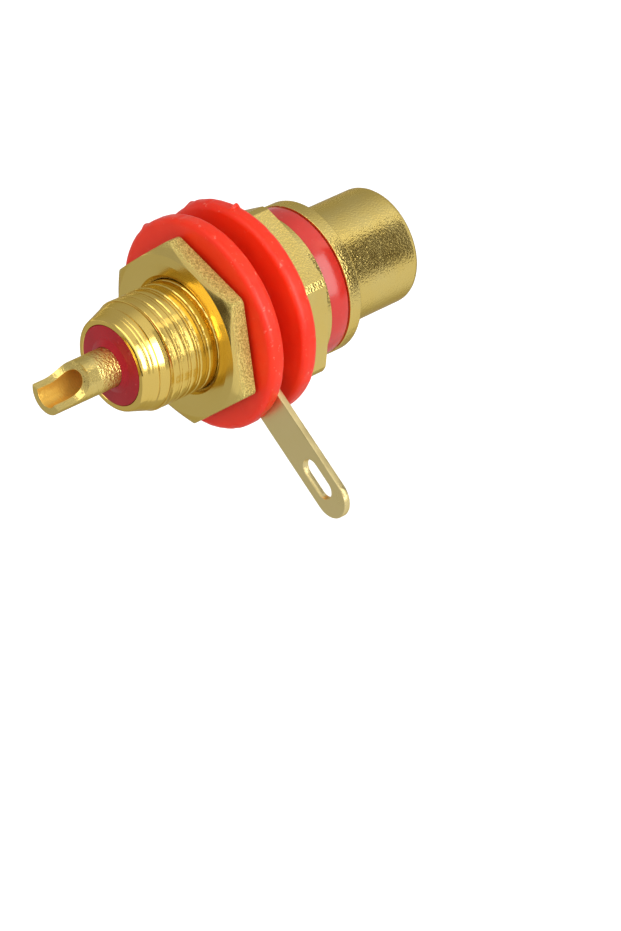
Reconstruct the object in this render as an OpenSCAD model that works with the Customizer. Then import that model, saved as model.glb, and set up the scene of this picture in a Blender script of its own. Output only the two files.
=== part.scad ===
// Panel-mount coaxial phono socket with insulating washers and a solder tag.
// The axis runs along Y. The mouth faces -Y, the solder cup faces +Y, and Z is up.
// The origin lies on the axis, in the plane where the front washer meets the panel.
// Angles round the axis are counted from straight up, and positive ones lean towards +X.

/* [Barrel] */
// Outer diameter of the barrel that the plug slides over
barrel_d = 8.3; // [8:0.05:8.6]
// Length from the collar to the mouth
barrel_len = 6.6; // [5:0.05:9]
// Diameter of the bore at the mouth
mouth_d = 5.1; // [4.9:0.05:5.5]
// Radius of the mouth's rounded outer edge
mouth_round = 0.6; // [0.2:0.05:0.9]
// Chamfer inside the mouth
mouth_chamfer = 0.15; // [0.05:0.05:0.3]
// Radius of the fillet between the barrel and the collar
neck_fillet = 0.8; // [0.3:0.05:0.9]

/* [Collar and colour ring] */
// Diameter of the collar
collar_d = 10.7; // [10.4:0.05:11]
// Width of the collar along the axis
collar_w = 1.05; // [0.8:0.05:2]
// Radius on the collar's edges
collar_round = 0.15; // [0.05:0.05:0.3]
// Width of the groove that holds the colour ring
groove_w = 1.95; // [1:0.05:2.5]
// Diameter of the groove's floor
groove_d = 8.8; // [8.4:0.1:9.6]
// Diameter of the colour ring
ring_d = 10.6; // [10.2:0.05:10.8]
// Radius on the colour ring's edges
ring_round = 0.15; // [0.05:0.05:0.3]
// Diameter of the round boss on the front of the flange
boss_d = 10.9; // [10.5:0.05:11.2]
// Width of the boss along the axis
boss_w = 0.25; // [0.1:0.05:0.6]

/* [Hexagon flange] */
// Width of the flange across its flats
flange_af = 11.6; // [11.3:0.1:13]
// Depth turned off each corner of the flange
flange_trim = 0.15; // [0.05:0.05:0.5]
// Thickness of the flange
flange_w = 2.5; // [2:0.05:4]
// Turn of the flange's first corner
flange_turn = 0; // [0:1:59]
// Slope of the corner chamfers on the flange and the nut
chamfer_slope = 30; // [15:1:40]

/* [Shank] */
// Diameter over the thread
shank_d = 7.65; // [7.6:0.05:8.2]
// Length from the flange to the shank's end
shank_len = 11.5; // [10.5:0.05:16]
// Diameter of the smooth lead-in where it leaves the thread
lead_d = 7.45; // [7.2:0.05:7.55]
// Length of the tapered lead-in
lead_len = 1.85; // [1.2:0.05:3]
// Radius where the taper starts
lead_round = 1; // [0.4:0.1:1.2]
// Diameter of the lead-in at the shank's end
end_d = 6.3; // [6.2:0.05:6.6]
// Radius on the edge of the shank's end
end_round = 0.3; // [0.1:0.05:0.4]
// Diameter of the bore through the shank
shank_bore_d = 5.8; // [5.7:0.05:5.9]
// Opening in the lip that is rolled over the rear insulator
lip_d = 5.3; // [5:0.05:5.4]
// Thickness of the rolled lip
lip_t = 0.25; // [0.15:0.05:0.4]
// Depth of the step in the bore, from the mouth
step_depth = 7.1; // [6.5:0.1:8]

/* [Centre contact] */
// Diameter of the bore that takes the plug's pin
socket_d = 3.2; // [3:0.05:3.2]
// Outer diameter of the split tube
tube_d = 3.6; // [3.55:0.05:3.8]
// Depth of the tube's lip behind the mouth
contact_recess = 1.4; // [1:0.1:3]
// Depth of the bore from the lip
socket_depth = 10; // [8:0.1:11]
// Chamfer at the mouth of the bore
lip_chamfer = 0.12; // [0.05:0.01:0.18]
// Width of the two slots that split the tube
slit_w = 0.35; // [0.2:0.05:0.5]
// Length of the two slots
slit_len = 5.2; // [3:0.1:5.4]
// Turn of the slots
slit_turn = 0; // [-90:1:90]
// Thickness behind the bore's floor
floor_t = 0.15; // [0.1:0.05:0.5]
// Diameter of the shoulder between the insulators
shoulder_d = 4.6; // [4:0.1:5]
// Width of the shoulder
shoulder_w = 0.8; // [0.5:0.1:1.5]
// Diameter of the stem and the solder cup
stem_d = 2.75; // [2.6:0.05:3.1]
// Length of stem and cup past the shank's end
stem_out = 5.4; // [5:0.05:8]
// Bore of the solder cup
cup_bore_d = 1.7; // [1.6:0.05:2.1]
// Depth of the cup's bore from its end
cup_depth = 4; // [3:0.1:4.8]
// Length of the scoop that opens the cup
scoop_len = 2.7; // [2:0.1:2.9]
// Radius of the cutter that leaves the scoop's slope
scoop_r = 1.8; // [1.6:0.1:2]
// Height of the scoop's floor above the axis
scoop_rise = -0.2; // [-0.3:0.05:0.4]
// Turn of the scoop
scoop_turn = -18; // [-90:1:90]

/* [Insulators] */
// Depth of the liner's front edge behind the mouth
liner_recess = 0.25; // [0.15:0.05:0.5]
// Radius on the liner's front edge
liner_round = 0.15; // [0.05:0.05:0.25]
// Wall of the liner round the split tube
liner_wall = 0.43; // [0.3:0.01:0.55]
// Length of the relief past the slots
relief = 0.3; // [0.1:0.1:0.5]

/* [Washers] */
// Diameter of the two washers
washer_d = 14.8; // [14:0.1:17]
// Thickness of the two washers
washer_t = 1.3; // [1:0.05:1.8]
// Radius on the washers' edges
washer_round = 0.42; // [0.2:0.02:0.45]
// Diameter of the front washer's spigot, which fills the hole in the panel
spigot_d = 9.9; // [9.4:0.1:11]
// Length of the spigot
spigot_len = 1.05; // [0.8:0.05:2]

/* [Solder tag] */
// Thickness of the sheet
tag_t = 0.5; // [0.3:0.05:0.8]
// Outer diameter of the ring on the shank
tag_ring_d = 11.4; // [10.5:0.1:13]
// Width of the arm
tag_w = 3; // [2.8:0.1:4.5]
// Reach of the arm's rounded tip from the axis
tag_reach = 15.7; // [15:0.1:20]
// Width of the slot for the wire
eye_w = 1.45; // [1:0.05:1.8]
// Length of the slot
eye_len = 2.95; // [2:0.05:4]
// Sheet left between the slot and the tip
eye_margin = 1.45; // [1:0.05:2]
// Turn of the arm
tag_turn = 233; // [180:1:270]

/* [Nut] */
// Width of the nut across its flats
nut_af = 11.3; // [11.3:0.1:13]
// Depth turned off each corner of the nut
nut_trim = 0.05; // [0.05:0.05:0.5]
// Thickness of the nut
nut_t = 1.5; // [1.3:0.1:2.5]
// Diameter of the dish round the thread on the rear face
dish_d = 9.9; // [9:0.1:10.5]
// Depth of the dish
dish_depth = 0.2; // [0.05:0.05:0.4]
// Turn of the nut's first corner
nut_turn = 10; // [0:1:59]
// Slack left between the nut, which isn't tightened, and the rear washer
nut_slack = 0.3; // [0.01:0.01:0.6]

/* [Fits] */
// Radial gap between pieces that are pressed together
press_gap = 0.02; // [0.01:0.01:0.04]
// Radial gap of the washers and the tag on the shank
loose_gap = 0.1; // [0.05:0.01:0.15]
// Radial gap of the nut on the thread
thread_gap = 0.05; // [0.03:0.01:0.08]
// Gap between faces that lie against each other
seat_gap = 0.01; // [0.01:0.01:0.03]

/* [Hidden] */
$fn = 64;
overlap = 1;

// Places along Y, from the panel towards the mouth
flange_rear = -washer_t - seat_gap;
flange_front = flange_rear - flange_w;
groove_rear = flange_front - boss_w;
groove_front = groove_rear - groove_w;
collar_front = groove_front - collar_w;
mouth = collar_front - barrel_len;
bore_step = mouth + step_depth;

// Places along Y, from the panel towards the solder cup
tag_front = spigot_len + seat_gap;
rear_washer_front = tag_front + tag_t + seat_gap;
nut_front = rear_washer_front + washer_t + nut_slack;
nut_rear = nut_front + nut_t;
shank_end = flange_rear + shank_len;
lead_start = shank_end - lead_len;
lip_inner = shank_end - lip_t;

// Places of the centre contact
contact_lip = mouth + contact_recess;
socket_floor = contact_lip + socket_depth;
shoulder_front = socket_floor + floor_t;
shoulder_rear = shoulder_front + shoulder_w;
cup_end = shank_end + stem_out;

gold = [0.83, 0.68, 0.26];
red = [0.9, 0.16, 0.12];
crimson = [0.62, 0.1, 0.2];

// Turns a profile of radius against Y into a solid of revolution round the axis
module turned() {
    rotate([-90, 0, 0]) rotate_extrude() children();
}

// Rectangle of a profile, between two radii and two places along the axis
module band(r_in, r_out, from, to) {
    translate([r_in, from]) square([r_out - r_in, to - from]);
}

// Three-sided patch between a corner and an arc that touches both its sides
module patch(r, y, size, to_r, to_y, extra = 0) {
    difference() {
        translate([r - (to_r < 0 ? size : extra), y - (to_y < 0 ? size : extra)])
            square(size + extra);
        translate([r + to_r * size, y + to_y * size]) circle(size);
    }
}

// Band whose two outer edges are rounded
module rounded_band(r_in, r_out, from, to, round) {
    difference() {
        band(r_in, r_out, from, to);
        patch(r_out, from, round, -1, 1, overlap);
        patch(r_out, to, round, -1, -1, overlap);
    }
}

// Hexagonal bar along Y with one corner turned from straight up
module hex_bar(af, from, to, turn) {
    rotate([0, turn - 90, 0]) rotate([-90, 0, 0]) translate([0, 0, from])
        cylinder(r = af / sqrt(3), h = to - from, $fn = 6);
}

// Profile that trims a hexagon's corners and slopes them back from the face at flat
module corner_trim(af, trim, plain, flat) {
    corner_r = af / sqrt(3) - trim;
    rise = (corner_r - af / 2) * tan(chamfer_slope);
    side = flat > plain ? 1 : -1;
    polygon([
        [0, plain], [corner_r, plain], [corner_r, flat - side * rise], [af / 2, flat], [0, flat],
    ]);
}

// Barrel, neck, collar, boss and shank, without the flange and the bore
module shell_profile() {
    difference() {
        union() {
            band(0, barrel_d / 2, mouth, groove_front);
            patch(barrel_d / 2, collar_front, neck_fillet, 1, -1);
            rounded_band(0, collar_d / 2, collar_front, groove_front, collar_round);
            band(0, groove_d / 2, collar_front, flange_front);
            band(0, boss_d / 2, groove_rear, flange_front + overlap);
            band(0, shank_d / 2, groove_rear, lead_start);
            hull() {
                band(0, lip_d / 2, lead_start - overlap, shank_end);
                translate([lead_d / 2 - lead_round, lead_start]) circle(lead_round);
                translate([end_d / 2 - end_round, shank_end - end_round]) circle(end_round);
            }
        }
        patch(barrel_d / 2, mouth, mouth_round, -1, 1, overlap);
    }
}

// Stepped bore with the mouth's chamfer and the opening in the lip
module shell_bore_profile() {
    band(0, mouth_d / 2, mouth - overlap, bore_step + overlap);
    polygon([
        [0, mouth - overlap], [mouth_d / 2 + mouth_chamfer + overlap, mouth - overlap],
        [mouth_d / 2, mouth + mouth_chamfer], [0, mouth + mouth_chamfer],
    ]);
    band(0, shank_bore_d / 2, bore_step, lip_inner);
    band(0, lip_d / 2, lip_inner - overlap, shank_end + overlap);
}

module shell() {
    color(gold) difference() {
        union() {
            turned() shell_profile();
            intersection() {
                hex_bar(flange_af, flange_front, flange_rear, flange_turn);
                turned() corner_trim(flange_af, flange_trim, flange_rear, flange_front);
            }
        }
        turned() shell_bore_profile();
    }
}

module colour_ring() {
    color(red) turned() rounded_band(
        groove_d / 2 + press_gap, ring_d / 2,
        groove_front + seat_gap, groove_rear - seat_gap, ring_round
    );
}

// Liner that is thin round the split tube and shouldered behind the bore's step
module front_insulator() {
    liner_front = mouth + liner_recess;
    liner_r = mouth_d / 2 - press_gap;
    liner_rear = shoulder_front - seat_gap;
    relief_end = contact_lip + slit_len + relief;
    color(red) turned() difference() {
        union() {
            band(0, liner_r, liner_front, liner_rear);
            band(0, shank_bore_d / 2 - press_gap, bore_step + seat_gap, liner_rear);
        }
        patch(liner_r, liner_front, liner_round, -1, 1, overlap);
        band(0, liner_r - liner_wall, liner_front - overlap, relief_end);
        band(0, tube_d / 2 + press_gap, relief_end - overlap, liner_rear + overlap);
    }
}

// Cutter that scoops the solder cup open, as a profile of height against Y
module scoop_profile() {
    scoop_start = cup_end - scoop_len;
    drop = stem_d / 2 - scoop_rise;
    slope_len = sqrt(pow(scoop_r, 2) - pow(scoop_r - drop, 2));
    translate([scoop_start + slope_len, scoop_rise + scoop_r]) circle(scoop_r);
    translate([scoop_start + slope_len, scoop_rise])
        square([scoop_len - slope_len + overlap, scoop_r * 2]);
}

module scoop() {
    rotate([0, scoop_turn, 0]) translate([stem_d, 0, 0]) rotate([0, -90, 0])
        rotate([0, 0, 90]) mirror([0, 1, 0]) linear_extrude(stem_d * 2) scoop_profile();
}

module centre_contact() {
    color(gold) difference() {
        turned() difference() {
            union() {
                band(0, tube_d / 2, contact_lip, shoulder_rear);
                band(0, shoulder_d / 2, shoulder_front, shoulder_rear);
                band(0, stem_d / 2, shoulder_front, cup_end);
            }
            band(0, socket_d / 2, contact_lip - overlap, socket_floor);
            polygon([
                [0, contact_lip - overlap], [socket_d / 2 + lip_chamfer + overlap, contact_lip - overlap],
                [socket_d / 2, contact_lip + lip_chamfer], [0, contact_lip + lip_chamfer],
            ]);
            band(0, cup_bore_d / 2, cup_end - cup_depth, cup_end + overlap);
        }
        rotate([0, slit_turn, 0]) translate([-slit_w / 2, contact_lip - overlap, -tube_d])
            cube([slit_w, slit_len + overlap, tube_d * 2]);
        scoop();
    }
}

module rear_insulator() {
    color(crimson) turned() band(
        stem_d / 2 + press_gap, shank_bore_d / 2 - press_gap,
        shoulder_rear + seat_gap, lip_inner - seat_gap
    );
}

// Washer with rounded edges, by the place of its front face
module washer(from) {
    rounded_band(shank_d / 2 + loose_gap, washer_d / 2, from, from + washer_t, washer_round);
}

module front_washer() {
    color(red) turned() {
        washer(-washer_t);
        band(shank_d / 2 + loose_gap, spigot_d / 2, -washer_t / 2, spigot_len);
    }
}

module rear_washer() {
    color(red) turned() washer(rear_washer_front);
}

// Outline of the tag with its arm along +Y of the drawing
module tag_outline() {
    tip = tag_reach - tag_w / 2;
    eye_out = tag_reach - eye_margin - eye_w / 2;
    eye_in = eye_out - eye_len + eye_w;
    difference() {
        union() {
            circle(d = tag_ring_d);
            translate([-tag_w / 2, 0]) square([tag_w, tip]);
            translate([0, tip]) circle(d = tag_w);
        }
        circle(r = shank_d / 2 + loose_gap);
        translate([-eye_w / 2, eye_in]) square([eye_w, eye_out - eye_in]);
        translate([0, eye_in]) circle(d = eye_w);
        translate([0, eye_out]) circle(d = eye_w);
    }
}

module solder_tag() {
    color(gold) rotate([0, tag_turn, 0]) translate([0, tag_front + tag_t, 0])
        rotate([90, 0, 0]) linear_extrude(tag_t) tag_outline();
}

module nut() {
    hole_r = shank_d / 2 + thread_gap;
    color(gold) difference() {
        intersection() {
            hex_bar(nut_af, nut_front, nut_rear, nut_turn);
            turned() corner_trim(nut_af, nut_trim, nut_front, nut_rear);
        }
        turned() {
            band(0, hole_r, nut_front - overlap, nut_rear + overlap);
            polygon([
                [0, nut_rear - dish_depth], [hole_r, nut_rear - dish_depth],
                [dish_d / 2, nut_rear], [dish_d / 2, nut_rear + overlap], [0, nut_rear + overlap],
            ]);
        }
    }
}

shell();
colour_ring();
front_insulator();
centre_contact();
rear_insulator();
front_washer();
rear_washer();
solder_tag();
nut();
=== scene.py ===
# %% [markdown]
# # Panel-mount phono socket
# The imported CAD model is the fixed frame. Every visible piece is made again here as a finer mesh,
# because the real socket shows what plain solids leave out: the fine thread on the shank, broken
# edges on the hexagons, moulding flash on the washers and the grain of the thin gold plating.

# %% load the frame
import bpy
import bmesh
import math
import random
from mathutils import Matrix, Vector


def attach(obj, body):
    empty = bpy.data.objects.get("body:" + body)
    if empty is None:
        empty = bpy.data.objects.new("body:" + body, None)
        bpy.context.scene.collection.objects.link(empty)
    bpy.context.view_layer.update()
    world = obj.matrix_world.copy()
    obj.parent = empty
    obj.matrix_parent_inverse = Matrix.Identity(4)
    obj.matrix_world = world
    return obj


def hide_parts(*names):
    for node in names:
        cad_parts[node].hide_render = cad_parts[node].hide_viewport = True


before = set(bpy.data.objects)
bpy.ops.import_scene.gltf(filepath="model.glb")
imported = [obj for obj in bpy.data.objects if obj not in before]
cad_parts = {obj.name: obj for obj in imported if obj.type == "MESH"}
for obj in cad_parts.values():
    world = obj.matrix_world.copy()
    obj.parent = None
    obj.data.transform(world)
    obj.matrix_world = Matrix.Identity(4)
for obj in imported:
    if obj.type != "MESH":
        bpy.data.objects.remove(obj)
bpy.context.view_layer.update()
MM = 0.001

# %% [markdown]
# The camera stands behind the socket, to its left and above it, so the solder cup points at the lower
# left of the picture and the mouth points away. A long lens keeps the circles of the washers close to
# true ellipses. The sensor is fitted to the picture's height, which is the longer side.

# %% camera
CAMERA_PLACE = Vector((-0.155525, 0.137625, 0.119985))
CAMERA_LOOK = Vector((0.61722, -0.57544, -0.53658))
SENSOR, LENS = 24, 93.68
lens = bpy.data.cameras.new("camera")
camera = bpy.data.objects.new("camera", lens)
bpy.context.scene.collection.objects.link(camera)
camera.location = CAMERA_PLACE
camera.rotation_euler = CAMERA_LOOK.to_track_quat("-Z", "Y").to_euler()
lens.sensor_fit = "VERTICAL"
lens.sensor_height = SENSOR
lens.sensor_width = SENSOR
lens.lens = LENS
lens.clip_start = 0.01
bpy.context.scene.camera = camera
print("camera at", [round(c / MM, 1) for c in camera.location], "mm")

# %% [markdown]
# Almost everything here is turned on a lathe, so one helper does the same: it draws half of the cross
# section as a closed line, rounds its corners, and spins it round the Y axis. A corner is written as
# radius, place along Y and rounding, all in millimetres, which is how a turner would read a drawing.

# %% profile and lathe helpers
LATHE_STEPS = 192
ARC_POINTS = 7
SAME_POINT = 1e-7
NEAR_MM = 1e-3


def rounded_line(corners):
    """Points of a closed line whose corners are replaced by arcs."""
    points = []
    for i, (r, y, rounding) in enumerate(corners):
        here = Vector((r, y))
        if rounding <= 0:
            points.append(here)
            continue
        back = (Vector(corners[i - 1][:2]) - here).normalized()
        ahead = (Vector(corners[(i + 1) % len(corners)][:2]) - here).normalized()
        half = back.angle(ahead) / 2
        start = here + back * rounding / math.tan(half)
        centre = here + (back + ahead).normalized() * rounding / math.sin(half)
        sweep = (start - centre).angle_signed(here + ahead * rounding / math.tan(half) - centre)
        for k in range(ARC_POINTS):
            turn = Matrix.Rotation(-sweep * k / (ARC_POINTS - 1), 2)
            points.append(centre + turn @ (start - centre))
    return points


def turn_on_lathe(corners, steps=LATHE_STEPS, rows=None):
    """A bmesh spun from the closed line. rows gives (y from, y to, cuts) of a side to divide finely."""
    bm = bmesh.new()
    line = [bm.verts.new((p.x * MM, p.y * MM, 0)) for p in rounded_line(corners)]
    edges = [bm.edges.new((a, b)) for a, b in zip(line, line[1:] + line[:1])]
    if rows:
        low, high, cuts = rows
        side = [e for e in edges if abs(e.verts[0].co.x - e.verts[1].co.x) < SAME_POINT
                and abs(min(v.co.y for v in e.verts) / MM - low) < NEAR_MM
                and abs(max(v.co.y for v in e.verts) / MM - high) < NEAR_MM]
        bmesh.ops.subdivide_edges(bm, edges=side, cuts=cuts)
    bmesh.ops.spin(bm, geom=bm.verts[:] + bm.edges[:], cent=(0, 0, 0), axis=(0, 1, 0),
                   angle=math.tau, steps=steps, use_merge=True)
    bmesh.ops.remove_doubles(bm, verts=bm.verts, dist=SAME_POINT)
    bmesh.ops.recalc_face_normals(bm, faces=bm.faces)
    return bm


# %% [markdown]
# A finished piece is smooth except at its creases. Plain smooth shading would bend a large flat face
# towards the narrow bevel beside it, and the reflection would bend with it. Weighted normals keep the
# flat face flat to its very edge, so that only the bevel turns the light.

# %% finishing helper
CREASE = 24


def finish_piece(bm, name, body, node):
    """Makes the object, ties it to its body and hides the CAD node that it stands for."""
    mesh = bpy.data.meshes.new(name)
    bm.to_mesh(mesh)
    bm.free()
    mesh.shade_smooth()
    mesh.set_sharp_from_angle(angle=math.radians(CREASE))
    piece = bpy.data.objects.new(name, mesh)
    bpy.context.scene.collection.objects.link(piece)
    flat = piece.modifiers.new("flat_faces", "WEIGHTED_NORMAL")
    flat.keep_sharp = True
    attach(piece, body)
    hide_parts(node)
    loose = sum(1 for e in mesh.edges if e.is_loose)
    print(f"{name}: {len(mesh.polygons)} faces, {loose} loose edges")
    return piece


# %% [markdown]
# A hexagon on a turned part starts as a round disc with a sloping chamfer. Six planes then slice its
# flats off, exactly as a mill would, and that leaves the curved line where each flat meets the
# chamfer. Each cut is filled with one flat face, and its rim is broken with a small bevel, because
# a real edge is never perfectly sharp and the little round is what catches the light.

# %% hexagon helper
ON_PLANE = 1e-8


def mill_hexagon(bm, across_flats, first_corner, edge_break):
    """first_corner is the clock angle of one corner, in degrees from straight up."""
    rims = []
    for k in range(6):
        clock = math.radians(first_corner + 30 + 60 * k)
        flat = Vector((math.sin(clock), 0, math.cos(clock)))
        cut = bmesh.ops.bisect_plane(bm, geom=bm.verts[:] + bm.edges[:] + bm.faces[:], dist=ON_PLANE,
                                     plane_co=flat * across_flats / 2 * MM, plane_no=flat,
                                     clear_outer=True)
        rim = [e for e in cut["geom_cut"] if isinstance(e, bmesh.types.BMEdge)]
        bmesh.ops.contextual_create(bm, geom=rim)
        rims += rim
    bmesh.ops.recalc_face_normals(bm, faces=bm.faces)
    bmesh.ops.bevel(bm, geom=[e for e in rims if e.is_valid], offset=edge_break * MM, affect="EDGES",
                    segments=3, profile=0.5, material=-1, clamp_overlap=True)


# %% [markdown]
# The thread is real geometry. The side of the shank is divided into rows a fortieth of a millimetre
# apart, and each point is pushed in by the depth that a right-handed groove has at its height and
# angle. The thread is shallow, with broad crests, broad roots and short flanks. Crest and root both
# mirror the window and the flanks don't, so each turn shows two bright bands and two fine dark lines.

# %% thread helper
PITCH = 0.75
PHASE = 0.115
CREST_SHARE, FLANK_SHARE = 0.48, 0.21
CROWN = 0.004
FLANK_DEPTH = 0.042
FOOT_DEPTH, FOOT_SPREAD = 0.012, 0.12
END_MM = 1e-4


def groove(phase):
    """Depth at a place in the turn: half a crest, a flank with a nick at its foot, half a root."""
    away = abs((phase % 1) - 0.5) * 2
    if away < CREST_SHARE:
        return CROWN * (away / CREST_SHARE) ** 2
    t = min(1, (away - CREST_SHARE) / FLANK_SHARE)
    nick = FOOT_DEPTH * math.exp(-((away - CREST_SHARE - FLANK_SHARE) / FOOT_SPREAD) ** 2)
    return CROWN + FLANK_DEPTH * t * t * (3 - 2 * t) + nick


def cut_thread(bm, radius, low, high, side, fade):
    """side is 1 for a shank, whose points move in, and -1 for a hole, whose points move out."""
    moved = 0
    for v in bm.verts:
        x, y, z = v.co / MM
        reach = math.hypot(x, z)
        if abs(reach - radius) > NEAR_MM or not low - END_MM <= y <= high + END_MM:
            continue
        ends = min(1, max(0, min(y - low, high - y) / fade))
        depth = groove((y - PHASE) / PITCH - math.atan2(x, z) / math.tau) * ends
        scale = (reach - side * depth) / reach
        v.co.x *= scale
        v.co.z *= scale
        moved += depth > 0
    print("thread points moved:", moved)


# %% [markdown]
# The shell is one turned brass piece, so it is one spun line. Its sizes come first. The flange is a
# disc as wide as the hexagon's corners, with a flat chamfer on its front, and the lead-in behind the
# thread tapers down to the thin lip, with three fine lines that the turning tool left.

# %% shell sizes
MOUTH = -13.66
BORE_STEP = MOUTH + 7.1
COLLAR = -7.06
GROOVE_FRONT, GROOVE_REAR = -6.01, -4.26
FLANGE_FRONT, FLANGE_REAR = -3.55, -1.31
LEAD, SHANK_END = 8.34, 10.19
MOUTH_R, BARREL_R, COLLAR_R, GROOVE_R, BOSS_R = 2.55, 4.15, 5.35, 4.4, 5.45
SHANK_R, BORE_R, SEAT_R = 3.825, 2.9, 2.67
FLANGE_AF, FLANGE_CORNER, FLANGE_CHAMFER = 11.6, 6.547, 16
THREAD_ROW = 0.025
TAPER_R, TAPER_START, TAPER_SLOPE = 3.70, 0.28, 0.329
TOOL_LINES, TOOL_HALF_WIDTH = ((9.06, 0.07), (9.40, 0.012), (9.64, 0.012)), 0.05
chamfer_drop = (FLANGE_CORNER - FLANGE_AF / 2) * math.tan(math.radians(FLANGE_CHAMFER))
thread_rows = round((LEAD - FLANGE_REAR) / THREAD_ROW)
turned_lines = [(TAPER_R - TAPER_SLOPE * (at - LEAD - TAPER_START) - cut, at, 0)
                for y, depth in TOOL_LINES
                for at, cut in ((y - TOOL_HALF_WIDTH, 0), (y, depth), (y + TOOL_HALF_WIDTH, 0))]
print("rows in the thread:", thread_rows, "drop of the chamfer:", round(chamfer_drop, 3), "mm")

# %% [markdown]
# The line goes round the mouth, along the barrel, up the fillet, over the collar, down into the groove
# of the colour ring, up the boss and over the hexagon flange, then along the threaded shank and the
# tapered lead-in to the lip, and back inside. Only the side of the shank gets the fine rows that the
# thread needs, so the rest of the shell stays light.

# %% shell
bm = turn_on_lathe([
    (MOUTH_R, MOUTH + 0.15, 0), (2.7, MOUTH, 0.03), (BARREL_R, MOUTH, 0.6), (BARREL_R, COLLAR, 0.8),
    (COLLAR_R, COLLAR, 0.15), (COLLAR_R, GROOVE_FRONT, 0.05), (GROOVE_R, GROOVE_FRONT, 0),
    (GROOVE_R, GROOVE_REAR, 0), (BOSS_R, GROOVE_REAR, 0.06), (BOSS_R, FLANGE_FRONT, 0.05),
    (FLANGE_AF / 2, FLANGE_FRONT, 0), (FLANGE_CORNER, FLANGE_FRONT + chamfer_drop, 0),
    (FLANGE_CORNER, FLANGE_REAR, 0), (SHANK_R, FLANGE_REAR, 0), (SHANK_R, LEAD, 0),
    (3.74, LEAD + 0.02, 0), (TAPER_R, LEAD + TAPER_START, 0.1), *turned_lines,
    (3.2, SHANK_END - 0.05, 0.3), (3.08, SHANK_END, 0.1), (2.82, SHANK_END, 0.03),
    (SEAT_R, SHANK_END - 0.2, 0), (SEAT_R, SHANK_END - 0.25, 0), (BORE_R, SHANK_END - 0.25, 0),
    (BORE_R, BORE_STEP, 0), (MOUTH_R, BORE_STEP, 0),
], rows=(FLANGE_REAR, LEAD, thread_rows))
cut_thread(bm, SHANK_R, FLANGE_REAR + 0.5, LEAD - 0.02, side=1, fade=0.2)
mill_hexagon(bm, FLANGE_AF, first_corner=0, edge_break=0.05)
shell = finish_piece(bm, "shell_turned", "socket", "shell")

# %% [markdown]
# The nut is turned and milled in the same way. Its rear face has a shallow bright dish round the
# thread, and the chamfers slope its corners away. The hole carries the same groove as the shank.

# %% nut
NUT_FRONT, NUT_REAR = 3.17, 4.67
NUT_AF, NUT_CORNER, NUT_CHAMFER = 11.3, 6.474, 30
NUT_HOLE_R, NUT_ROWS = SHANK_R + 0.05, 28
hole_from, hole_to = NUT_FRONT + 0.15, NUT_REAR - 0.42
nut_drop = (NUT_CORNER - NUT_AF / 2) * math.tan(math.radians(NUT_CHAMFER))
bm = turn_on_lathe([
    (NUT_HOLE_R, hole_from, 0), (4.05, NUT_FRONT, 0), (NUT_CORNER, NUT_FRONT, 0.05),
    (NUT_CORNER, NUT_REAR - nut_drop, 0), (NUT_AF / 2, NUT_REAR, 0), (5.0, NUT_REAR, 0.1),
    (4.15, NUT_REAR - 0.15, 0.05), (NUT_HOLE_R, hole_to, 0),
], rows=(hole_from, hole_to, NUT_ROWS))
cut_thread(bm, NUT_HOLE_R, hole_from, hole_to, side=-1, fade=0.05)
mill_hexagon(bm, NUT_AF, first_corner=10, edge_break=0.045)
nut = finish_piece(bm, "nut_milled", "nut", "nut")

# %% [markdown]
# The red pieces are moulded. The colour ring, the liner and the plug in the shank are plain round
# shapes with soft edges. The ring is slightly crowned. The liner is thin round the split tube, so that
# the tube has room to spread. The rolled lip squeezes the plug's end until it stands flush with the
# rim and rises a little round the stem.

# %% colour ring, liner and rear plug
bm = turn_on_lathe([
    (4.42, -6.0, 0.1), (5.24, -6.0, 0.2), (5.3, -5.5, 3.0), (5.13, -4.27, 0.12), (4.42, -4.27, 0.1),
])
ring = finish_piece(bm, "ring_moulded", "socket", "colour_ring")

LIP = MOUTH + 1.4
LINER_FRONT, LINER_SHOULDER, LINER_REAR, LINER_STEP = MOUTH + 0.25, MOUTH + 7.11, -2.12, LIP + 5.5
bm = turn_on_lathe([
    (2.1, LINER_FRONT, 0.12), (2.53, LINER_FRONT, 0.15), (2.53, LINER_SHOULDER, 0),
    (2.88, LINER_SHOULDER, 0.05), (2.88, LINER_REAR, 0.05), (1.82, LINER_REAR, 0),
    (1.82, LINER_STEP, 0), (2.1, LINER_STEP, 0),
])
liner = finish_piece(bm, "liner_moulded", "socket", "front_insulator")

PLUG_FRONT, PLUG_REAR, PLUG_HOLE_R = -1.3, SHANK_END - 0.26, 1.395
bm = turn_on_lathe([
    (PLUG_HOLE_R, PLUG_FRONT, 0), (2.88, PLUG_FRONT, 0.1), (2.88, PLUG_REAR, 0), (2.65, PLUG_REAR, 0),
    (2.65, SHANK_END - 0.2, 0), (2.79, SHANK_END - 0.01, 0.03), (1.85, SHANK_END + 0.03, 0.3),
    (PLUG_HOLE_R, SHANK_END + 0.28, 0),
])
plug = finish_piece(bm, "plug_moulded", "socket", "rear_insulator")

# %% [markdown]
# The two washers come from a cheap mould. Their edges are strongly rounded, the rims wander a
# little, and bits of flash and the stump of a sprue stand on them. The rim is made uneven by moving
# its points with a few slow waves, some small nubs and some nicks, with a fixed seed so that every
# run gives the same washers. Both sit a little off the axis, by the play in their holes.

# %% rim helper
WASHER_R, WASHER_HOLE_R, WASHER_T, WASHER_EDGE = 7.4, 3.925, 1.3, 0.42
OUTER_FACE = 6.9
RIM_FROM, RIM_BLEND, RIM_SHRINK = 6.4, 0.8, 0.02
WAVES, NICKS = (2, 3, 5, 8, 13, 21), 16
NUB_LENGTH = 0.3
OFF_AXIS = Vector((0.07, 0, 0.05)) * MM


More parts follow.
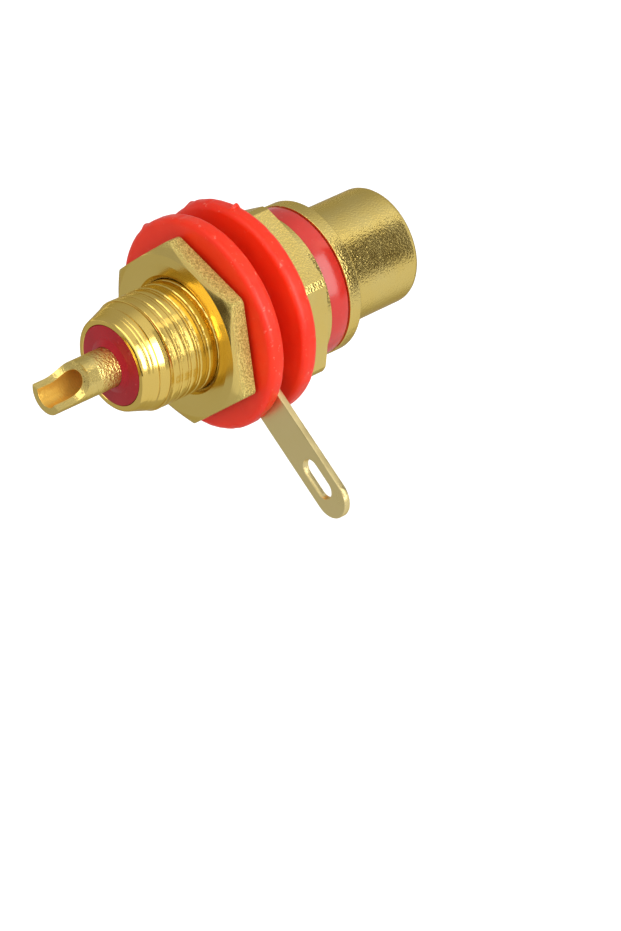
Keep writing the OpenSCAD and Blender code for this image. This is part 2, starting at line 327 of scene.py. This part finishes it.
def wander_rim(bm, seed, nubs):
    """Moves the points near the rim. nubs are (clock angle, reach, width in degrees, place along y)."""
    dice = random.Random(seed)
    waves = [(n, dice.uniform(0.004, 0.014) / (1 + n / 9), dice.uniform(0, math.tau)) for n in WAVES]
    nicks = [(dice.uniform(0, 360), -dice.uniform(0.02, 0.07), dice.uniform(0.8, 2.2),
              dice.uniform(0, 1)) for _ in range(NICKS)]
    low = min(v.co.y for v in bm.verts if math.hypot(v.co.x, v.co.z) > OUTER_FACE * MM) / MM
    for v in bm.verts:
        x, y, z = v.co / MM
        reach = math.hypot(x, z)
        if reach < RIM_FROM:
            continue
        clock = math.degrees(math.atan2(x, z)) % 360
        share = min(1, (reach - RIM_FROM) / RIM_BLEND)
        push = sum(a * math.sin(n * math.radians(clock) + p) for n, a, p in waves) - RIM_SHRINK
        for at, height, width, place in nubs + nicks:
            turn = (clock - at + 180) % 360 - 180
            along = (y - low) / WASHER_T - place
            push += height * math.exp(-(turn / width) ** 2 - (along / NUB_LENGTH) ** 2)
        scale = 1 + push * share / reach
        v.co.x *= scale
        v.co.z *= scale
    bmesh.ops.translate(bm, vec=OFF_AXIS, verts=bm.verts)


# %% [markdown]
# The washers are spun in whole degrees, so that the narrowest nub, a sharp little spike near the top,
# falls on one row of points. The front one has a spigot that goes into the panel's hole. Each has its
# own seed and its own nubs, so that they don't look like copies of each other.

# %% washers
WASHER_STEPS, RIM_CUTS = 360, 6
FRONT_SEED, REAR_SEED = 4, 7
SPIGOT_R, SPIGOT_END = 4.95, 1.05
FRONT_NUBS = [(36, 0.17, 2.0, 0.4), (29, 0.13, 5.0, 0.5), (19, 0.12, 6.0, 0.5), (1, 0.26, 0.4, 0.3),
              (160, 0.06, 3.0, 0.5), (248, 0.05, 2.0, 0.5)]
REAR_NUBS = [(46, 0.15, 1.6, 0.6), (189, 0.06, 1.5, 0.5), (200, -0.06, 2.0, 0.5)]

front, rear = -1.3, 0
bm = turn_on_lathe([
    (WASHER_HOLE_R, front, 0.05), (WASHER_R, front, WASHER_EDGE), (WASHER_R, rear, WASHER_EDGE),
    (SPIGOT_R, rear, 0.05), (SPIGOT_R, SPIGOT_END, 0.12), (WASHER_HOLE_R, SPIGOT_END, 0.05),
], steps=WASHER_STEPS, rows=(front + WASHER_EDGE, rear - WASHER_EDGE, RIM_CUTS))
wander_rim(bm, FRONT_SEED, FRONT_NUBS)
washer_front = finish_piece(bm, "washer_front_moulded", "socket", "front_washer")

front, rear = 1.57, 2.87
bm = turn_on_lathe([
    (WASHER_HOLE_R, front, 0.05), (WASHER_R, front, WASHER_EDGE), (WASHER_R, rear, WASHER_EDGE),
    (WASHER_HOLE_R, rear, 0.05),
], steps=WASHER_STEPS, rows=(front + WASHER_EDGE, rear - WASHER_EDGE, RIM_CUTS))
wander_rim(bm, REAR_SEED, REAR_NUBS)
washer_rear = finish_piece(bm, "washer_rear_moulded", "clamp", "rear_washer")

# %% [markdown]
# The solder tag is stamped from thin sheet. Its outline is already right in the CAD model, so a merged
# copy of that node is taken, its flat faces are joined, and its edges are rounded the way a
# stamping die leaves them.

# %% solder tag
TAG_MERGE = 1e-6
FLAT_WITHIN, SHARP_FROM, STAMPED_ROUND = 0.5, 60, 0.07
bm = bmesh.new()
bm.from_mesh(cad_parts["solder_tag"].data)
bmesh.ops.remove_doubles(bm, verts=bm.verts, dist=TAG_MERGE)
bmesh.ops.dissolve_limit(bm, angle_limit=math.radians(FLAT_WITHIN), verts=bm.verts, edges=bm.edges)
sharp = [e for e in bm.edges if len(e.link_faces) == 2
         and e.calc_face_angle() > math.radians(SHARP_FROM)]
bmesh.ops.bevel(bm, geom=sharp, offset=STAMPED_ROUND * MM, affect="EDGES", segments=3, profile=0.5,
                material=-1, clamp_overlap=True)
bmesh.ops.recalc_face_normals(bm, faces=bm.faces)
tag = finish_piece(bm, "tag_stamped", "tag", "solder_tag")

# %% [markdown]
# The centre contact is turned first: a thin tube for the plug's pin, a shoulder that the insulators
# hold, a solid stem, and a bore in its end for the wire. It isn't finished yet, because two cuts
# follow, and these are made with boolean cutters, which leave true curved edges.

# %% turned contact
TIP = 15.59
TUBE_FLOOR = LIP + 10
SHOULDER_FRONT, SHOULDER_REAR = TUBE_FLOOR + 0.15, TUBE_FLOOR + 0.95
TUBE_R, TUBE_BORE_R, SHOULDER_R, STEM_R, CUP_R = 1.8, 1.6, 2.3, 1.375, 0.85
CUP_DEPTH, CUP_POINT = 4, 4.3
CONTACT_STEPS = 128

bm = turn_on_lathe([
    (TUBE_BORE_R, LIP + 0.12, 0), (1.72, LIP, 0), (TUBE_R, LIP, 0.04), (TUBE_R, SHOULDER_FRONT, 0),
    (SHOULDER_R, SHOULDER_FRONT, 0.05), (SHOULDER_R, SHOULDER_REAR, 0.05), (STEM_R, SHOULDER_REAR, 0),
    (STEM_R, TIP, 0.06), (CUP_R, TIP, 0.06), (CUP_R, TIP - CUP_DEPTH, 0), (0.0, TIP - CUP_POINT, 0),
    (0.0, TUBE_FLOOR, 0), (TUBE_BORE_R, TUBE_FLOOR, 0),
], steps=CONTACT_STEPS)
rough = bpy.data.meshes.new("contact_turned")
bm.to_mesh(rough)
bm.free()
contact = bpy.data.objects.new("contact_turned", rough)
bpy.context.scene.collection.objects.link(contact)
print(contact.name, len(rough.polygons), "faces before the cuts")

# %% [markdown]
# The tube is slit lengthways, so that it springs on the pin. The stem's end is scooped open, so that
# the wire can be laid in and soldered. A thin box cuts the slot. The cutter of the scoop is a flat
# outline with a round nose, pulled to a thickness and turned to one side as on the real cup.

# %% slot and scoop
SLOT_SIZE = (0.35, 6.2, 6)
SCOOP_TURN, SCOOP_R, SCOOP_RISE, SCOOP_LEN = -18, 1.8, -0.2, 2.7
SCOOP_TOP, CUTTER_HALF, NOSE_STEP = 4, 3, 3
CUT_MERGE = 2e-6


def apply_cut(piece, cutter_bm):
    """Cuts the shape of cutter_bm out of the piece."""
    mesh = bpy.data.meshes.new("cutter")
    bmesh.ops.recalc_face_normals(cutter_bm, faces=cutter_bm.faces)
    cutter_bm.to_mesh(mesh)
    cutter_bm.free()
    cutter = bpy.data.objects.new("cutter", mesh)
    bpy.context.scene.collection.objects.link(cutter)
    cut = piece.modifiers.new("cut", "BOOLEAN")
    cut.operation = "DIFFERENCE"
    cut.solver = "EXACT"
    cut.object = cutter
    bpy.context.view_layer.objects.active = piece
    bpy.ops.object.modifier_apply(modifier=cut.name)
    bpy.data.objects.remove(cutter)


slot_cut = bmesh.new()
bmesh.ops.create_cube(slot_cut, size=MM)
bmesh.ops.scale(slot_cut, vec=SLOT_SIZE, verts=slot_cut.verts)
bmesh.ops.translate(slot_cut, vec=(0, (LIP - 1 + SLOT_SIZE[1] / 2) * MM, 0), verts=slot_cut.verts)
apply_cut(contact, slot_cut)

drop = STEM_R - SCOOP_RISE
slope = math.sqrt(SCOOP_R ** 2 - (SCOOP_R - drop) ** 2)
mid = TIP - SCOOP_LEN + slope
outline = [(TIP + 1, SCOOP_RISE), (TIP + 1, SCOOP_TOP), (mid - SCOOP_R, SCOOP_TOP)]
outline += [(mid - SCOOP_R * math.cos(a), SCOOP_RISE + SCOOP_R * (1 - math.sin(a)))
            for a in (math.radians(degrees) for degrees in range(0, 91, NOSE_STEP))]
scoop_cut = bmesh.new()
rim = [scoop_cut.verts.new((-CUTTER_HALF * MM, y * MM, h * MM)) for y, h in outline]
pulled = bmesh.ops.extrude_face_region(scoop_cut, geom=[scoop_cut.faces.new(rim)])
far_side = [v for v in pulled["geom"] if isinstance(v, bmesh.types.BMVert)]
bmesh.ops.translate(scoop_cut, vec=(2 * CUTTER_HALF * MM, 0, 0), verts=far_side)
bmesh.ops.rotate(scoop_cut, cent=(0, 0, 0), verts=scoop_cut.verts,
                 matrix=Matrix.Rotation(math.radians(SCOOP_TURN), 3, "Y"))
apply_cut(contact, scoop_cut)

bm = bmesh.new()
bm.from_mesh(contact.data)
bpy.data.objects.remove(contact)
bmesh.ops.remove_doubles(bm, verts=bm.verts, dist=CUT_MERGE)
bmesh.ops.recalc_face_normals(bm, faces=bm.faces)
contact = finish_piece(bm, "contact_cut", "socket", "centre_contact")

# %% [markdown]
# The finishes are node trees, and a few helpers keep them readable. Most of them add one node, feed
# it plain values or the outputs of other nodes, and give back its output. The pieces are turned round
# Y, so the patterns ask a point for its place along Y and for its distance from that axis, which
# together say where on the turning it lies.

# %% node helpers
def feed(tree, socket, value):
    """Links an input to another node's output, or sets its value."""
    if isinstance(value, bpy.types.NodeSocket):
        tree.links.new(value, socket)
    else:
        socket.default_value = value


def add(tree, kind, inputs, **settings):
    """Adds a node. inputs holds values or outputs by the place or the name of the input."""
    node = tree.nodes.new(kind)
    for key, value in settings.items():
        setattr(node, key, value)
    for key, value in inputs.items():
        feed(tree, node.inputs[key], value)
    return node


def maths(tree, operation, *values):
    return add(tree, "ShaderNodeMath", dict(enumerate(values)), operation=operation).outputs[0]


def map_range(tree, value, from_low, from_high, to_low, to_high):
    values = dict(enumerate((value, from_low, from_high, to_low, to_high)))
    return add(tree, "ShaderNodeMapRange", values).outputs[0]


def noise(tree, vector, scale, detail, roughness):
    values = {"Vector": vector, "Scale": scale, "Detail": detail, "Roughness": roughness}
    return add(tree, "ShaderNodeTexNoise", values).outputs[0]


def mix_colours(tree, share, first, second):
    return add(tree, "ShaderNodeMix", {0: share, 6: first, 7: second}, data_type="RGBA").outputs[2]


def place_on_piece(tree):
    """The point itself, its place along Y and its distance from that axis, in metres."""
    point = add(tree, "ShaderNodeTexCoord", {}).outputs["Object"]
    x, along, z = add(tree, "ShaderNodeSeparateXYZ", {0: point}).outputs
    squares = [maths(tree, "MULTIPLY", side, side) for side in (x, z)]
    return point, along, maths(tree, "SQRT", maths(tree, "ADD", *squares))


# %% [markdown]
# Effects that several pieces share are node groups, and every finish starts from a new material. The
# last helper puts each finish on its piece.

# %% group and material helpers
def new_group(name, inputs, outputs):
    """A shared effect. inputs holds the usual value of each input."""
    group = bpy.data.node_groups.new(name, "ShaderNodeTree")
    for label, value in inputs.items():
        socket = group.interface.new_socket(label, in_out="INPUT", socket_type="NodeSocketFloat")
        socket.default_value = value
    for label in outputs:
        group.interface.new_socket(label, in_out="OUTPUT", socket_type="NodeSocketFloat")
    print("group:", group.name, "in:", list(inputs), "out:", list(outputs))
    return group, group.nodes.new("NodeGroupInput").outputs, group.nodes.new("NodeGroupOutput").inputs


def new_material(name):
    """The material, its node tree and its shader."""
    material = bpy.data.materials.new(name)
    material.use_nodes = True
    return material, material.node_tree, material.node_tree.nodes["Principled BSDF"]


def bumpy(tree, shader, height, depth):
    """Makes a pattern stand out in the light, by a depth in millimetres."""
    values = {"Strength": 1.0, "Distance": depth * MM, "Height": height}
    feed(tree, shader.inputs["Normal"], add(tree, "ShaderNodeBump", values).outputs["Normal"])


def dress(*pairs):
    for piece, material in pairs:
        piece.data.materials.clear()
        piece.data.materials.append(material)
        print(piece.name, "in", material.name)


# %% [markdown]
# Thin gold plating over turned brass isn't a mirror. It has an orange-peel grain about a sixth of a
# millimetre across that breaks reflections into speckle, faint rings left by the lathe, and
# patches where the plating is paler. All the metal pieces share these, so they are one node group.
# Where a piece is grainy at its front and smooth behind, the grain fades between two places along Y.

# %% plating grain
RINGS_PER_METRE, PATCHES_PER_METRE = 9000, 420
grain_group, g_in, g_out = new_group(
    "plating_grain",
    {"Grain per metre": 4200, "Rings": 0.3, "Grainy before": 1, "Smooth after": 2, "Smooth share": 0.3},
    ("Height", "Patch", "Smooth", "Speck"))
point, along, from_axis = place_on_piece(grain_group)
peel = noise(grain_group, point, g_in["Grain per metre"], 2.0, 0.5)
ring_place = add(grain_group, "ShaderNodeCombineXYZ", {0: along, 1: from_axis}).outputs[0]
rings = noise(grain_group, ring_place, RINGS_PER_METRE, 1.0, 0.5)
patch = noise(grain_group, point, PATCHES_PER_METRE, 3.0, 0.6)
ends = (along, g_in["Grainy before"], g_in["Smooth after"])
peel_left = maths(grain_group, "MULTIPLY", peel,
                  map_range(grain_group, *ends, 1.0, g_in["Smooth share"]))
rings_left = maths(grain_group, "MULTIPLY", rings, g_in["Rings"])
feed(grain_group, g_out["Height"], maths(grain_group, "ADD", peel_left, rings_left))
feed(grain_group, g_out["Patch"], patch)
feed(grain_group, g_out["Smooth"], map_range(grain_group, *ends, 0.0, 1.0))
feed(grain_group, g_out["Speck"], peel)

# %% [markdown]
# One recipe makes every gold finish. The colour wanders between a full and a paler gold, the roughness
# wanders with the patches, and the grain goes to the bump. Gold turns paler at a glancing angle, which
# is the specular tint. A rough face can also be given less metal, so that it mirrors less.

# %% gold plating
EDGE_GOLD = (0.80, 0.68, 0.42)
NOISE_LOW, NOISE_HIGH = 0.35, 0.65
SHINIER, DULLER = 0.8, 1.2
FADE_LENGTH = 0.3


def gold_plating(name, colour, pale, roughness, rings, depth, grain_scale, smooth_from=None,
                 smooth_share=0.3, smooth_colour=None, grainy_roughness=None, grainy_metal=1.0,
                 colour_by="Patch"):
    """smooth_from is the place along Y, in millimetres, where the grain ends and the finish changes."""
    material, tree, shader = new_material(name)
    shader.inputs["Metallic"].default_value = 1.0
    shader.inputs["Specular Tint"].default_value = (*EDGE_GOLD, 1)
    values = {"Grain per metre": grain_scale, "Rings": rings}
    if smooth_from is not None:
        values |= {"Grainy before": smooth_from * MM, "Smooth after": (smooth_from + FADE_LENGTH) * MM,
                   "Smooth share": smooth_share}
    grain = add(tree, "ShaderNodeGroup", values, node_tree=grain_group).outputs
    bumpy(tree, shader, grain["Height"], depth)
    share = map_range(tree, grain[colour_by], NOISE_LOW, NOISE_HIGH, 0.0, 1.0)
    seen = mix_colours(tree, share, (*colour, 1), (*pale, 1))
    if smooth_colour:
        seen = mix_colours(tree, grain["Smooth"], seen, (*smooth_colour, 1))
    feed(tree, shader.inputs["Base Color"], seen)
    dull = map_range(tree, grain["Patch"], NOISE_LOW, NOISE_HIGH,
                     roughness * SHINIER, roughness * DULLER)
    grainy = maths(tree, "SUBTRACT", 1.0, grain["Smooth"])
    if grainy_roughness:
        extra = maths(tree, "MULTIPLY", grainy, grainy_roughness - roughness)
        dull = maths(tree, "ADD", dull, extra)
    feed(tree, shader.inputs["Roughness"], dull)
    if grainy_metal < 1:
        lost = maths(tree, "MULTIPLY", grainy, 1 - grainy_metal)
        feed(tree, shader.inputs["Metallic"], maths(tree, "SUBTRACT", 1.0, lost))
    return material


# %% [markdown]
# Each metal piece has its own amount of grain. The barrel and the flange are grainy and the shank is
# smooth, the nut's flats are rough from the drawn bar, and the tag is dull rolled sheet. The contact
# is grainy inside the shank and along the first part of its stem, and smoother towards its end.

# %% the four gold finishes
GOLD = (0.80, 0.60, 0.18)
PALE_GOLD = (0.78, 0.61, 0.215)
WARM_GOLD = (0.84, 0.60, 0.155)
BAR_DARK, BAR_LIGHT = (0.34, 0.26, 0.06), (0.76, 0.64, 0.20)
SHEET_GOLD, SHEET_PALE = (0.83, 0.68, 0.32), (0.84, 0.70, 0.35)
shell_gold = gold_plating("gold_shell", GOLD, PALE_GOLD, roughness=0.15, rings=0.12, depth=0.034,
                          grain_scale=6600, smooth_from=FLANGE_REAR, smooth_share=0.08,
                          smooth_colour=WARM_GOLD, grainy_roughness=0.2)
nut_gold = gold_plating("gold_nut", BAR_DARK, BAR_LIGHT, roughness=0.20, rings=0.05, depth=0.050,
                        grain_scale=8500, smooth_from=NUT_REAR - 0.55, smooth_share=0.02,
                        smooth_colour=GOLD, grainy_roughness=0.32, grainy_metal=0.35,
                        colour_by="Speck")
tag_gold = gold_plating("gold_tag", SHEET_GOLD, SHEET_PALE, roughness=0.34, rings=0, depth=0.006,
                        grain_scale=3000)
contact_gold = gold_plating("gold_contact", GOLD, PALE_GOLD, roughness=0.2, rings=0.12, depth=0.070,
                            grain_scale=6000, smooth_from=11.9, smooth_share=0.35,
                            grainy_roughness=0.30)
dress((shell, shell_gold), (nut, nut_gold), (tag, tag_gold), (contact, contact_gold))

# %% [markdown]
# The bore of the solder cup is tinted orange and has less metal, which hides the mirror look, so the
# hollow looks orange. A mask picks the bore out: close to the axis, and behind the floor of the split
# tube.

# %% orange tint in the cup
# an orange tint and less metal for the bore of the cup
BORE_ORANGE = (0.74, 0.42, 0.07)
BORE_METAL_LOST = 0.55
bore_tint_r, bore_tint_from = CUP_R + 0.02, TUBE_FLOOR + 1
tree = contact_gold.node_tree
shader = tree.nodes["Principled BSDF"]
_, along, from_axis = place_on_piece(tree)
in_bore = maths(tree, "MULTIPLY", maths(tree, "LESS_THAN", from_axis, bore_tint_r * MM),
                maths(tree, "GREATER_THAN", along, bore_tint_from * MM))
untinted_gold = shader.inputs["Base Color"].links[0].from_socket
feed(tree, shader.inputs["Base Color"], mix_colours(tree, in_bore, untinted_gold, (*BORE_ORANGE, 1)))
lost = maths(tree, "MULTIPLY", in_bore, BORE_METAL_LOST)
feed(tree, shader.inputs["Metallic"], maths(tree, "SUBTRACT", 1.0, lost))
print("orange tint within", round(bore_tint_r, 2), "mm of the axis, behind", round(bore_tint_from, 2), "mm")

# %% [markdown]
# Moulded plastic is never quite even. Where it rubbed against other parts it has pale scuffs, mostly on
# the rims, and its surface has a faint unevenness. Both come from the same flecks, so they are one
# group. Its third output is a slow cloud that lets the body colour drift.

# %% moulding marks
FLECKS_PER_METRE, CLOUDS_PER_METRE = 2600, 380
FLECK_LOW, FLECK_HIGH = 0.62, 0.74
OFF_RIM_SHARE, FLECK_HEIGHT = 0.15, 0.25
marks_group, s_in, s_out = new_group(
    "moulding_marks", {"Rim from": 0.0068, "Rim to": 0.0074, "Amount": 0.5},
    ("Scuffs", "Height", "Cloud"))
point, _, from_axis = place_on_piece(marks_group)
on_rim = map_range(marks_group, from_axis, s_in["Rim from"], s_in["Rim to"], OFF_RIM_SHARE, 1.0)
flecks = noise(marks_group, point, FLECKS_PER_METRE, 4.0, 0.65)
cloud = noise(marks_group, point, CLOUDS_PER_METRE, 2.0, 0.5)
rubbed = maths(marks_group, "MULTIPLY", map_range(marks_group, flecks, FLECK_LOW, FLECK_HIGH, 0.0, 1.0),
               on_rim)
feed(marks_group, s_out["Scuffs"], maths(marks_group, "MULTIPLY", rubbed, s_in["Amount"]))
feed(marks_group, s_out["Height"],
     maths(marks_group, "ADD", maths(marks_group, "MULTIPLY", flecks, FLECK_HEIGHT), cloud))
feed(marks_group, s_out["Cloud"], cloud)

# %% [markdown]
# The red plastic is soft, a little waxy and slightly translucent, so light that enters it comes out
# orange. That is subsurface light, whose red part travels furthest. A scuff is paler than the body
# and duller too.

# %% moulded plastic
CLOUD_LOW, CLOUD_HIGH = 0.3, 0.7
SCUFF_DULLER, MOULD_DEPTH = 0.3, 0.02
LIGHT_REACH, LIGHT_REACH_RGB = 0.0012, (1.0, 0.15, 0.05)


def moulded_plastic(name, colour, deeper, scuffed, roughness, amount, rim, glow=0.0, shine=0.25):
    """rim is where the scuffs grow and where they are strongest, in millimetres from the axis."""
    material, tree, shader = new_material(name)
    values = {"Rim from": rim[0] * MM, "Rim to": rim[1] * MM, "Amount": amount}
    marks = add(tree, "ShaderNodeGroup", values, node_tree=marks_group).outputs
    share = map_range(tree, marks["Cloud"], CLOUD_LOW, CLOUD_HIGH, 0.0, 1.0)
    body = mix_colours(tree, share, (*colour, 1), (*deeper, 1))
    feed(tree, shader.inputs["Base Color"], mix_colours(tree, marks["Scuffs"], body, (*scuffed, 1)))
    dullest = min(1, roughness + SCUFF_DULLER)
    feed(tree, shader.inputs["Roughness"],
         map_range(tree, marks["Scuffs"], 0.0, 1.0, roughness, dullest))
    bumpy(tree, shader, marks["Height"], MOULD_DEPTH)
    shader.inputs["Specular IOR Level"].default_value = shine
    shader.inputs["Subsurface Weight"].default_value = glow
    shader.inputs["Subsurface Radius"].default_value = LIGHT_REACH_RGB
    shader.inputs["Subsurface Scale"].default_value = LIGHT_REACH
    return material


# %% [markdown]
# The washers glow most, since they are thick and soft. The ring is a harder, shinier red, the liner
# is deep in the mouth, and the plug in the shank is a dark crimson.

# %% the four plastics
washer_red = moulded_plastic(
    "red_washers", (0.87, 0.034, 0.006), (0.80, 0.024, 0.004), (0.95, 0.42, 0.30),
    roughness=0.38, amount=0.5, rim=(6.8, 7.3), glow=0.55, shine=0.3)
ring_red = moulded_plastic(
    "red_ring", (0.62, 0.022, 0.012), (0.57, 0.018, 0.009), (0.9, 0.35, 0.30),
    roughness=0.20, amount=0.1, rim=(5.1, 5.3), glow=0.1, shine=0.8)
liner_red = moulded_plastic(
    "red_liner", (0.74, 0.035, 0.02), (0.68, 0.028, 0.015), (0.85, 0.35, 0.30),
    roughness=0.30, amount=0.2, rim=(2.3, 2.5), glow=0.08)
plug_crimson = moulded_plastic(
    "crimson_plug", (0.42, 0.012, 0.020), (0.34, 0.008, 0.014), (0.6, 0.12, 0.12),
    roughness=0.32, amount=0.5, rim=(1.4, 2.6))
dress((washer_front, washer_red), (washer_rear, washer_red), (ring, ring_red), (liner, liner_red),
      (plug, plug_crimson))

# %% [markdown]
# The studio is plain: white paper under the socket, one big soft box to the left, and a room that is
# darker towards the right. The paper is white to the camera and in reflections, but it keeps the
# shadow.

# %% paper
FLOOR_Z = -0.045
PAPER_SIZE = 3.0


def plain_surface(name, colour, glow=None):
    """A dull surface, which may also give off light of its own."""
    material, _, shader = new_material(name)
    shader.inputs["Base Color"].default_value = (*colour, 1)
    shader.inputs["Roughness"].default_value = 0.9
    shader.inputs["Specular IOR Level"].default_value = 0.0
    if glow:
        shader.inputs["Emission Color"].default_value = (*glow, 1)
        shader.inputs["Emission Strength"].default_value = 1.0
    return material


def stage_piece(bm, name, material):
    """Makes an object of the studio, which isn't part of the socket."""
    mesh = bpy.data.meshes.new(name)
    bm.to_mesh(mesh)
    bm.free()
    mesh.materials.append(material)
    piece = bpy.data.objects.new(name, mesh)
    bpy.context.scene.collection.objects.link(piece)
    return piece


paper = plain_surface("white_paper", (0.60, 0.60, 0.60), glow=(0.65, 0.65, 0.65))
tree = paper.node_tree
path = add(tree, "ShaderNodeLightPath", {}).outputs
seen = maths(tree, "MAXIMUM", maths(tree, "MAXIMUM", path["Is Camera Ray"], path["Is Glossy Ray"]),
             path["Is Transmission Ray"])
feed(tree, tree.nodes["Principled BSDF"].inputs["Emission Strength"], seen)
bm = bmesh.new()
bmesh.ops.create_grid(bm, x_segments=2, y_segments=2, size=PAPER_SIZE)
bmesh.ops.translate(bm, vec=(0, 0, FLOOR_Z), verts=bm.verts)
stage_piece(bm, "floor", paper)
print("paper at", FLOOR_Z / MM, "mm")

# %% [markdown]
# Polished metal is only as good as what it mirrors, so cards stand where the real socket mirrors the
# dark camera, a grey table and a bright window edge. They are seen in reflections only. A turned part
# mirrors a fan of directions round its axis, so half of the cards are bent round that axis too.

# %% card helpers
CARD_STEPS = 24


def only_reflected(piece):
    for ray in ("camera", "diffuse", "shadow", "transmission", "volume_scatter"):
        setattr(piece, "visible_" + ray, False)


def bent_card(name, radius, start, end, near, far, material):
    """A card bent round the Y axis, from the angle start to end in degrees above the +X side."""
    bm = bmesh.new()
    a = math.radians(start)
    rod = [bm.verts.new((radius * math.cos(a), y, radius * math.sin(a))) for y in (near, far)]
    bm.edges.new(rod)
    bmesh.ops.spin(bm, geom=bm.verts[:] + bm.edges[:], cent=(0, 0, 0), axis=(0, -1, 0),
                   angle=math.radians(end - start), steps=CARD_STEPS)
    only_reflected(stage_piece(bm, name, material))


def flat_card(name, size, place, turn, material):
    """A flat card of a width and a length, tipped by the angle turn and moved to its place."""
    bm = bmesh.new()
    bmesh.ops.create_grid(bm, x_segments=1, y_segments=1, size=0.5)
    bmesh.ops.scale(bm, vec=(*size, 1), verts=bm.verts)
    bmesh.ops.rotate(bm, cent=(0, 0, 0), matrix=Matrix.Rotation(math.radians(turn), 3, "X"),
                     verts=bm.verts)
    bmesh.ops.translate(bm, vec=place, verts=bm.verts)
    only_reflected(stage_piece(bm, name, material))


# %% [markdown]
# Close to the socket, a dark card draws the dark band along the barrel, with the edge of a bright card
# above it, and a grey card keeps the stem quiet. A small strip of window is mirrored in the tapered
# lead-in, black cards far behind darken a corner of the nut, and two big cards are the table.

# %% cards
UNLIT = (0.0, 0.0, 0.0)
dark = plain_surface("dark_card", (0.18, 0.155, 0.11))
black = plain_surface("black_card", (0.09, 0.07, 0.04))
grey = plain_surface("grey_card", UNLIT, glow=(0.50, 0.50, 0.48))
bright = plain_surface("bright_card", UNLIT, glow=(1.35, 1.30, 1.10))
pale = plain_surface("pale_card", UNLIT, glow=(0.78, 0.78, 0.78))
overhead = plain_surface("overhead_card", UNLIT, glow=(2.2, 2.1, 1.9))
window = plain_surface("window_card", UNLIT, glow=(9.0, 9.0, 9.0))
bent_card("dark_card_camera_side", 0.030, 117.7, 188.6, -0.0172, -0.041, dark)
bent_card("grey_card_by_the_stem", 0.030, 117, 190, 0.0070, -0.0088, grey)
bent_card("window_card_rear_end", 0.27, 138, 178, 0.06, -0.02, window)
bent_card("bright_card_window", 0.275, 104, 116, -0.110, -0.400, bright)
flat_card("bright_card_low", (0.14, 0.14), (-0.30, 0.15, -0.03), 90, bright)
bent_card("bright_card_above_camera", 0.32, 60, 155, 0.26, 0.08, overhead)
flat_card("dark_card_behind", (0.24, 0.25), (-0.01, 0.36, 0.02), 90, black)
flat_card("dark_card_behind_low", (0.22, 0.24), (-0.03, 0.24, FLOOR_Z + 0.004), 0, black)
flat_card("grey_card_table", (0.62, 1.40), (0.300, 0.0, FLOOR_Z + 0.002), 0, grey)
flat_card("pale_card_table", (0.70, 1.40), (-0.360, 0.0, FLOOR_Z + 0.002), 0, pale)

# %% [markdown]
# One big soft box gives the white blocks on the threads and the lead-in. A second one near the camera
# lights the plastic from the front and isn't seen in the metal. The world fills in the rest.
# Together they light a surface at about the level of its own colour, so nothing is burnt out.

# %% lamps and world
WORLD_LEFT, WORLD_RIGHT, WORLD_FADE = 0.80, 0.44, 0.55


def soft_box(name, toward, distance, width, height, radiance):
    """A rectangular lamp that faces the socket."""
    lamp = bpy.data.lights.new(name, "AREA")
    lamp.shape = "RECTANGLE"
    lamp.size = width
    lamp.size_y = height
    lamp.energy = radiance * math.pi * width * height
    box = bpy.data.objects.new(name, lamp)
    bpy.context.scene.collection.objects.link(box)
    box.location = Vector(toward).normalized() * distance
    box.rotation_euler = (-box.location).to_track_quat("-Z", "Y").to_euler()
    return box


soft_box("soft_box_left", (-0.865, -0.235, 0.44), distance=0.40, width=0.30, height=0.41, radiance=2.5)
fill = soft_box("soft_box_fill", (-0.40, 0.72, 0.56), distance=0.50, width=0.40, height=0.40,
                radiance=1.6)
fill.visible_glossy = False

world = bpy.data.worlds.new("studio")
bpy.context.scene.world = world
world.use_nodes = True
tree = world.node_tree
background = tree.nodes["Background"]
background.inputs["Color"].default_value = (1, 1, 1, 1)
way = add(tree, "ShaderNodeTexCoord", {}).outputs["Generated"]
rightwards = add(tree, "ShaderNodeSeparateXYZ", {0: way}).outputs[0]
feed(tree, background.inputs["Strength"],
     map_range(tree, rightwards, 0.0, WORLD_FADE, WORLD_LEFT, WORLD_RIGHT))
bpy.context.scene.view_settings.view_transform = "Standard"
